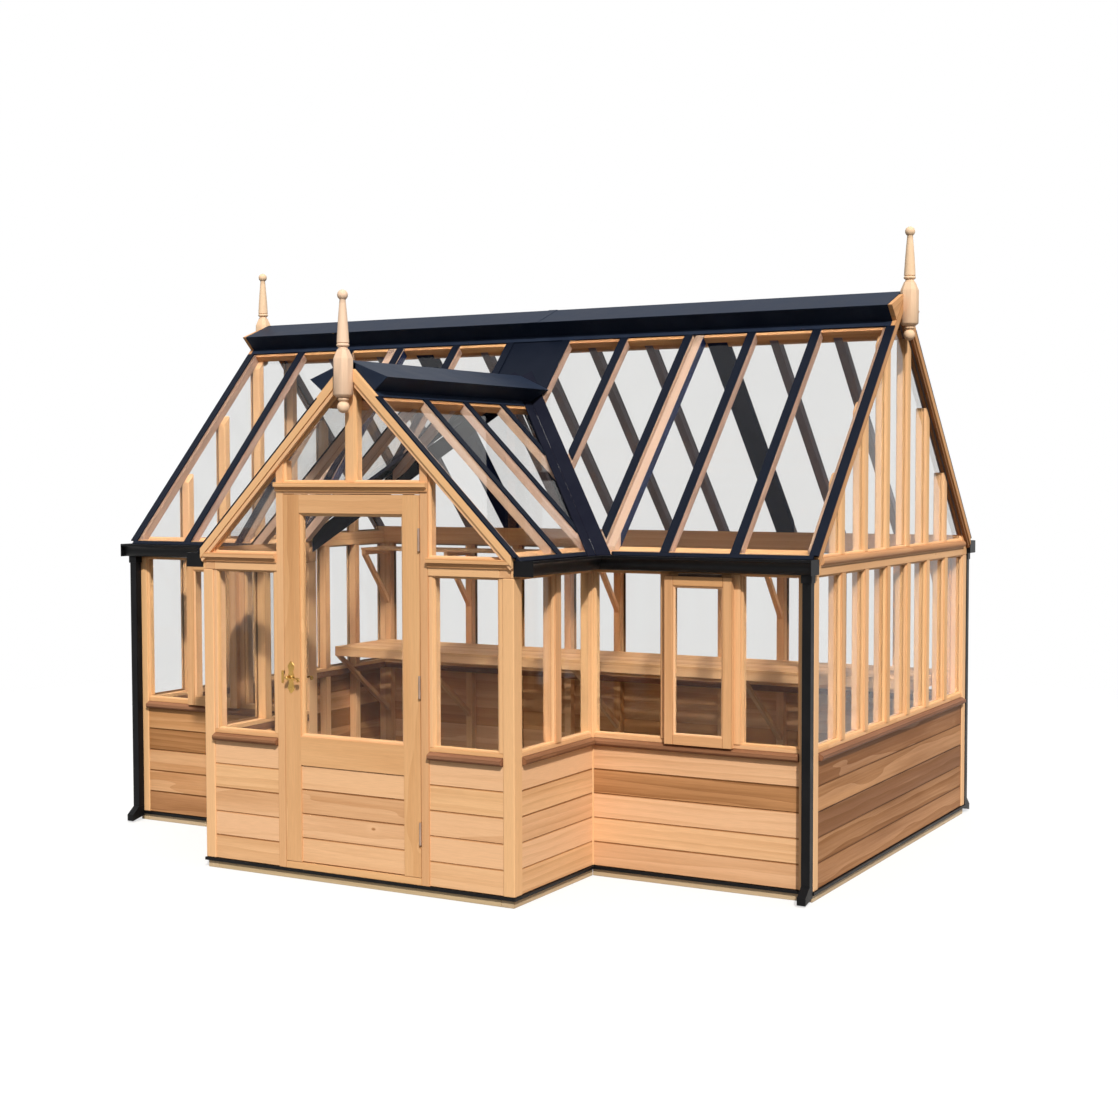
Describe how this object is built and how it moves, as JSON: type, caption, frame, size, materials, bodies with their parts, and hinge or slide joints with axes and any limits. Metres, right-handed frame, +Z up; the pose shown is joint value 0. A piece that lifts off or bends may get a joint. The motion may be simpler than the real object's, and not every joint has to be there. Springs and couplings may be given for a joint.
{
  "type": "wooden greenhouse",
  "caption": "T-plan cedar greenhouse with boarded base walls, glazed walls and roof, black metal cappings and gutters, turned finials and a gabled porch with a part-glazed door.",
  "frame": {"origin": "on the ground, under the middle of the plan box from the porch finial to the back gutter", "axes": "+X along the main ridge to the right as seen from the porch, +Y from the porch door to the back wall, +Z up"},
  "size_m": [4.58, 3.615, 3.4675],
  "materials": {
    "cedar_frame": "oiled cedar, satin",
    "cedar_boards": "oiled cedar boards, each a little different",
    "cedar_dark": "darker weathered cedar",
    "finial_wood": "pale turned cedar",
    "black_aluminium": "satin black powder coat",
    "glass": "clear toughened glass",
    "brass": "polished brass",
    "hinge_steel": "plated steel"
  },
  "bodies": {
    "house": {"back_bar_caps": "black_aluminium", "back_boards": "cedar_boards", "back_glass": "glass", "back_roof_glass": "glass", "bench": "cedar_frame", "corner_posts": "cedar_frame", "door_casing": "cedar_frame", "door_hinge_frames": "hinge_steel", "downpipes": "black_aluminium", "drip_strip": "black_aluminium", "eave_drip_bars": "black_aluminium", "fascias": "cedar_frame", "finials": "finial_wood", "front_bar_caps": "black_aluminium", "front_boards": "cedar_boards", "front_glass": "glass", "front_roof_glass": "glass", "gable_bands": "cedar_frame", "gable_boards": "cedar_boards", "gable_glass": "glass", "gable_studs": "cedar_frame", "glazing_rails": "cedar_frame", "gutters": "black_aluminium", "main_barge_boards": "cedar_frame", "main_rafters": "cedar_frame", "main_ridge_hood": "black_aluminium", "plinth": "cedar_frame", "porch_bar_caps": "black_aluminium", "porch_barge_boards": "cedar_frame", "porch_boards": "cedar_boards", "porch_flashing": "black_aluminium", "porch_glass": "glass", "porch_mouldings": "cedar_frame", "porch_rafters": "cedar_frame", "porch_ridge_hood": "black_aluminium", "porch_roof_glass": "glass", "porch_window_frames": "cedar_frame", "rafter_channels": "black_aluminium", "ridge_trimmers": "cedar_frame", "roof_beams": "cedar_frame", "shelf": "cedar_frame", "sills": "cedar_dark", "valley_channels": "black_aluminium", "vent_hinge_frames": "hinge_steel", "wall_bars": "cedar_frame", "wall_plates": "cedar_frame", "wall_studs": "cedar_frame"},
    "door": {"door_frame": "cedar_frame", "door_boards": "cedar_boards", "door_glass": "glass", "door_hinge_leaves": "hinge_steel", "door_lock": "brass"},
    "lever": {"lever_handle": "brass"},
    "latch": {"latch_bolt": "brass"},
    "right_vent": {"right_vent_sash": "cedar_frame", "right_vent_glass": "glass", "right_vent_hinges": "hinge_steel"},
    "left_vent": {"left_vent_sash": "cedar_frame", "left_vent_glass": "glass", "left_vent_hinges": "hinge_steel"}
  },
  "joints": [
    {"name": "door_swing", "type": "hinge", "parent": "house", "child": "door", "pos_m": [0.4255, -1.724, 1.05], "axis": [0, 0, 1], "range_deg": [0, 110]},
    {"name": "lever_turn", "type": "hinge", "parent": "door", "child": "lever", "pos_m": [-0.384, -1.7175, 1.062], "axis": [0, 1, 0], "range_deg": [0, 45], "stiffness_Nm_per_rad": 1, "springref_deg": -20.05},
    {"name": "latch_slide", "type": "slide", "parent": "door", "child": "latch", "axis": [1, 0, 0], "range_m": [0, 0.0115]},
    {"name": "right_vent_swing", "type": "hinge", "parent": "house", "child": "right_vent", "pos_m": [1.585, -0.9095, 1.605], "axis": [-1, 0, 0], "range_deg": [0, 35]},
    {"name": "left_vent_swing", "type": "hinge", "parent": "house", "child": "left_vent", "pos_m": [-1.585, -0.9095, 1.605], "axis": [-1, 0, 0], "range_deg": [0, 35]}
  ],
  "couplings": [
    {"joint": "latch_slide", "follows": "lever_turn", "m_per_rad": 0.0145}
  ]
}
